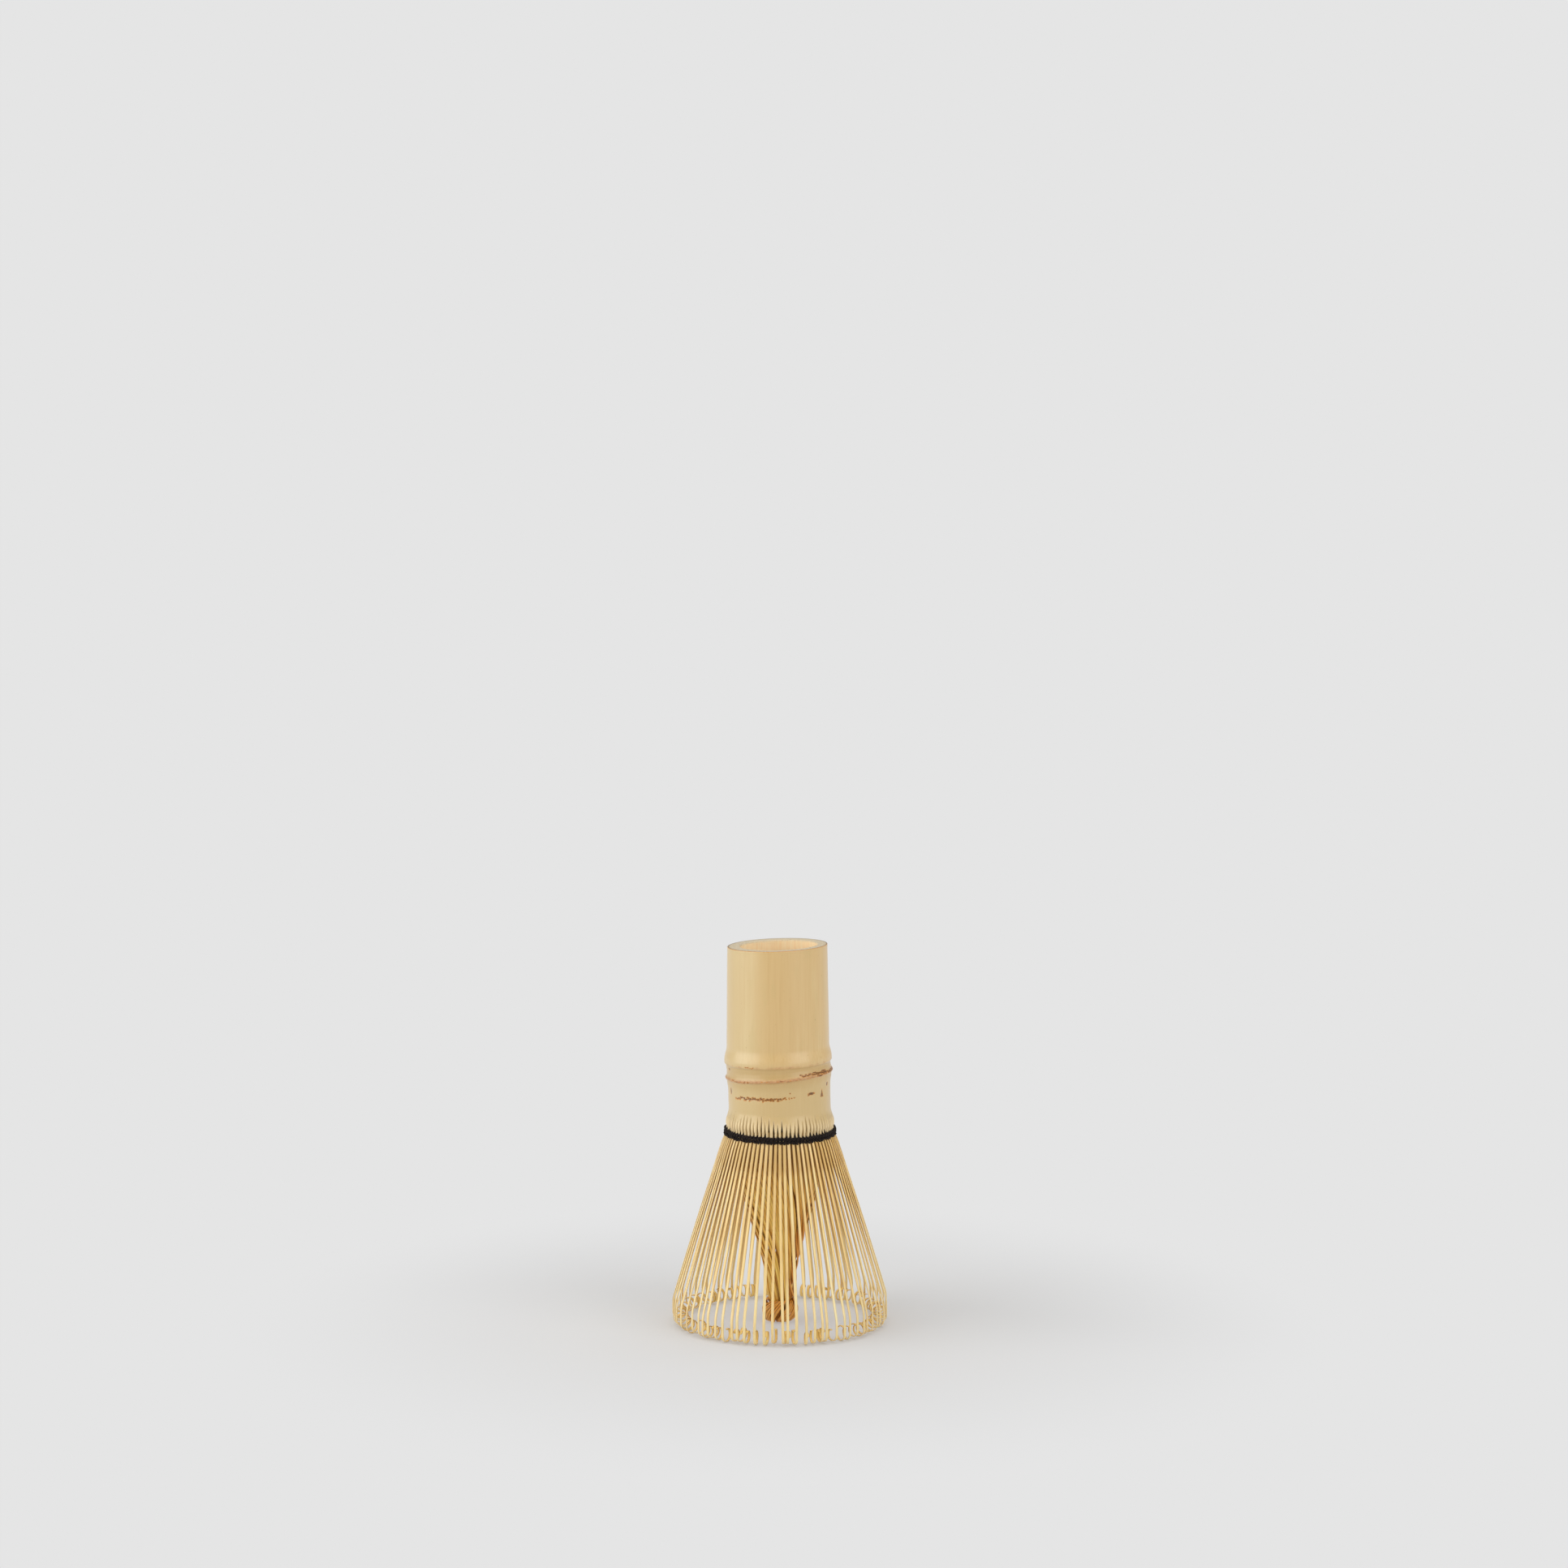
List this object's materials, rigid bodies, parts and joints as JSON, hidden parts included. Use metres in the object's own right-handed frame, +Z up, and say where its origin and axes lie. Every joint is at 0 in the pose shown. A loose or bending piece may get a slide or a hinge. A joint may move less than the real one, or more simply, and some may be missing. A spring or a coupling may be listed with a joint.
{
  "type": "bamboo tea whisk",
  "caption": "Bamboo tea whisk: a hollow culm handle split into a flared ring of curled tines round a twisted inner core, bound by black thread.",
  "frame": {"origin": "on the surface the whisk stands on, at the middle of the ring of curled outer tines", "axes": "+Z up along the handle to its rim, +X to the right and -Y towards the viewer of the front, whose knot is at the back"},
  "size_m": [0.0608, 0.0608, 0.107],
  "materials": {
    "bamboo_culm": "smooth natural skin with a satin sheen",
    "bamboo_pith": "matt, pale inner wall",
    "bamboo_outer_tines": "shaved smooth, satin",
    "bamboo_inner_tines": "shaved fine fibres, matt",
    "thread": "black twisted cotton, matt"
  },
  "bodies": {
    "root": {"handle": "bamboo_culm", "node_septum": "bamboo_pith", "thread_upper_turn": "thread", "thread_lower_turn": "thread", "thread_inner_turn": "thread", "thread_knot": "thread"},
    "outer_section_01": {"outer_tines_01": "bamboo_outer_tines"},
    "outer_section_02": {"outer_tines_02": "bamboo_outer_tines"},
    "outer_section_03": {"outer_tines_03": "bamboo_outer_tines"},
    "outer_section_04": {"outer_tines_04": "bamboo_outer_tines"},
    "outer_section_05": {"outer_tines_05": "bamboo_outer_tines"},
    "outer_section_06": {"outer_tines_06": "bamboo_outer_tines"},
    "outer_section_07": {"outer_tines_07": "bamboo_outer_tines"},
    "outer_section_08": {"outer_tines_08": "bamboo_outer_tines"},
    "outer_section_09": {"outer_tines_09": "bamboo_outer_tines"},
    "outer_section_10": {"outer_tines_10": "bamboo_outer_tines"},
    "outer_section_11": {"outer_tines_11": "bamboo_outer_tines"},
    "outer_section_12": {"outer_tines_12": "bamboo_outer_tines"},
    "outer_section_13": {"outer_tines_13": "bamboo_outer_tines"},
    "outer_section_14": {"outer_tines_14": "bamboo_outer_tines"},
    "outer_section_15": {"outer_tines_15": "bamboo_outer_tines"},
    "outer_section_16": {"outer_tines_16": "bamboo_outer_tines"},
    "inner_core": {"inner_tines_01": "bamboo_inner_tines", "inner_tines_02": "bamboo_inner_tines", "inner_tines_03": "bamboo_inner_tines", "inner_tines_04": "bamboo_inner_tines", "inner_tines_05": "bamboo_inner_tines", "inner_tines_06": "bamboo_inner_tines", "inner_tines_07": "bamboo_inner_tines", "inner_tines_08": "bamboo_inner_tines", "inner_tines_09": "bamboo_inner_tines", "inner_tines_10": "bamboo_inner_tines", "inner_tines_11": "bamboo_inner_tines", "inner_tines_12": "bamboo_inner_tines", "inner_tines_13": "bamboo_inner_tines", "inner_tines_14": "bamboo_inner_tines", "inner_tines_15": "bamboo_inner_tines", "inner_tines_16": "bamboo_inner_tines"}
  },
  "joints": [
    {"name": "outer_flex_01", "type": "hinge", "parent": "root", "child": "outer_section_01", "pos_m": [0.0152, 0, 0.0534], "axis": [0, 1, 0], "range_deg": [-5, 3], "stiffness_Nm_per_rad": 0.034},
    {"name": "outer_flex_02", "type": "hinge", "parent": "root", "child": "outer_section_02", "pos_m": [0.01404, 0.00582, 0.0534], "axis": [-0.3827, 0.9239, 0], "range_deg": [-5, 3], "stiffness_Nm_per_rad": 0.034},
    {"name": "outer_flex_03", "type": "hinge", "parent": "root", "child": "outer_section_03", "pos_m": [0.01075, 0.01075, 0.0534], "axis": [-0.7071, 0.7071, 0], "range_deg": [-5, 3], "stiffness_Nm_per_rad": 0.034},
    {"name": "outer_flex_04", "type": "hinge", "parent": "root", "child": "outer_section_04", "pos_m": [0.00582, 0.01404, 0.0534], "axis": [-0.9239, 0.3827, 0], "range_deg": [-5, 3], "stiffness_Nm_per_rad": 0.034},
    {"name": "outer_flex_05", "type": "hinge", "parent": "root", "child": "outer_section_05", "pos_m": [0, 0.0152, 0.0534], "axis": [-1, 0, 0], "range_deg": [-5, 3], "stiffness_Nm_per_rad": 0.034},
    {"name": "outer_flex_06", "type": "hinge", "parent": "root", "child": "outer_section_06", "pos_m": [-0.00582, 0.01404, 0.0534], "axis": [-0.9239, -0.3827, 0], "range_deg": [-5, 3], "stiffness_Nm_per_rad": 0.034},
    {"name": "outer_flex_07", "type": "hinge", "parent": "root", "child": "outer_section_07", "pos_m": [-0.01075, 0.01075, 0.0534], "axis": [-0.7071, -0.7071, 0], "range_deg": [-5, 3], "stiffness_Nm_per_rad": 0.034},
    {"name": "outer_flex_08", "type": "hinge", "parent": "root", "child": "outer_section_08", "pos_m": [-0.01404, 0.00582, 0.0534], "axis": [-0.3827, -0.9239, 0], "range_deg": [-5, 3], "stiffness_Nm_per_rad": 0.034},
    {"name": "outer_flex_09", "type": "hinge", "parent": "root", "child": "outer_section_09", "pos_m": [-0.0152, 0, 0.0534], "axis": [0, -1, 0], "range_deg": [-5, 3], "stiffness_Nm_per_rad": 0.034},
    {"name": "outer_flex_10", "type": "hinge", "parent": "root", "child": "outer_section_10", "pos_m": [-0.01404, -0.00582, 0.0534], "axis": [0.3827, -0.9239, 0], "range_deg": [-5, 3], "stiffness_Nm_per_rad": 0.034},
    {"name": "outer_flex_11", "type": "hinge", "parent": "root", "child": "outer_section_11", "pos_m": [-0.01075, -0.01075, 0.0534], "axis": [0.7071, -0.7071, 0], "range_deg": [-5, 3], "stiffness_Nm_per_rad": 0.034},
    {"name": "outer_flex_12", "type": "hinge", "parent": "root", "child": "outer_section_12", "pos_m": [-0.00582, -0.01404, 0.0534], "axis": [0.9239, -0.3827, 0], "range_deg": [-5, 3], "stiffness_Nm_per_rad": 0.034},
    {"name": "outer_flex_13", "type": "hinge", "parent": "root", "child": "outer_section_13", "pos_m": [0, -0.0152, 0.0534], "axis": [1, 0, 0], "range_deg": [-5, 3], "stiffness_Nm_per_rad": 0.034},
    {"name": "outer_flex_14", "type": "hinge", "parent": "root", "child": "outer_section_14", "pos_m": [0.00582, -0.01404, 0.0534], "axis": [0.9239, 0.3827, 0], "range_deg": [-5, 3], "stiffness_Nm_per_rad": 0.034},
    {"name": "outer_flex_15", "type": "hinge", "parent": "root", "child": "outer_section_15", "pos_m": [0.01075, -0.01075, 0.0534], "axis": [0.7071, 0.7071, 0], "range_deg": [-5, 3], "stiffness_Nm_per_rad": 0.034},
    {"name": "outer_flex_16", "type": "hinge", "parent": "root", "child": "outer_section_16", "pos_m": [0.01404, -0.00582, 0.0534], "axis": [0.3827, 0.9239, 0], "range_deg": [-5, 3], "stiffness_Nm_per_rad": 0.034},
    {"name": "core_sway", "type": "hinge", "parent": "root", "child": "inner_core", "pos_m": [0, 0, 0.0534], "axis": [1, 0, 0], "range_deg": [-3.5, 3.5], "stiffness_Nm_per_rad": 0.08}
  ]
}
